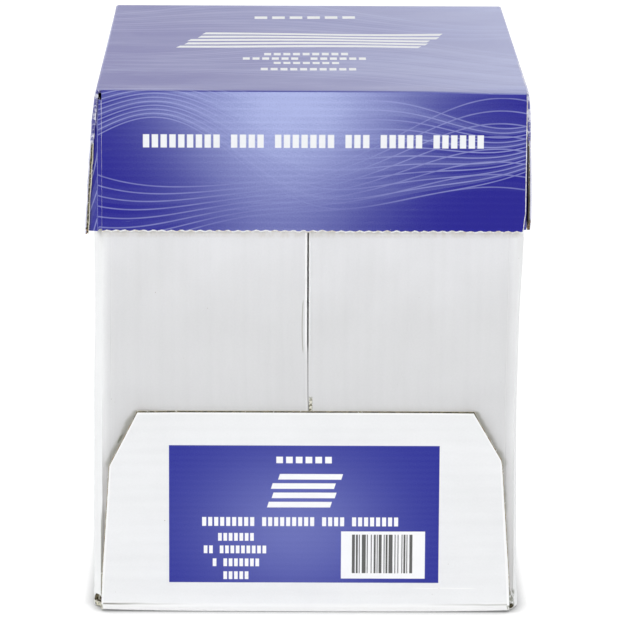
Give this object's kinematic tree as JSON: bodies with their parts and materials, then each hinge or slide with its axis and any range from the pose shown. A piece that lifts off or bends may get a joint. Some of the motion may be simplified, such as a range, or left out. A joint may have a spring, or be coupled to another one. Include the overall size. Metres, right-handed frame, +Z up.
{
  "type": "copy paper carton",
  "caption": "Corrugated carton of wrapped copy paper reams: a plain white folded tray with glued end flaps and a printed telescoping lid that lifts off.",
  "frame": {"origin": "centre of the carton's footprint, on the surface that it stands on", "axes": "+Z up, -Y towards the labelled end that the picture shows, +X to the right of that end"},
  "size_m": [0.2312, 0.312, 0.2769],
  "materials": {
    "tray_board": "matte",
    "lid_board": "satin",
    "ream_wrapper": "satin"
  },
  "bodies": {
    "tray": {"tray": "tray_board", "ream_1": "ream_wrapper", "ream_2": "ream_wrapper", "ream_3": "ream_wrapper", "ream_4": "ream_wrapper", "ream_5": "ream_wrapper"},
    "lid": {"lid": "lid_board"}
  },
  "joints": [
    {"name": "lid_lift", "type": "slide", "parent": "tray", "child": "lid", "axis": [0, 0, 1], "range_m": [0, 0.15]}
  ]
}
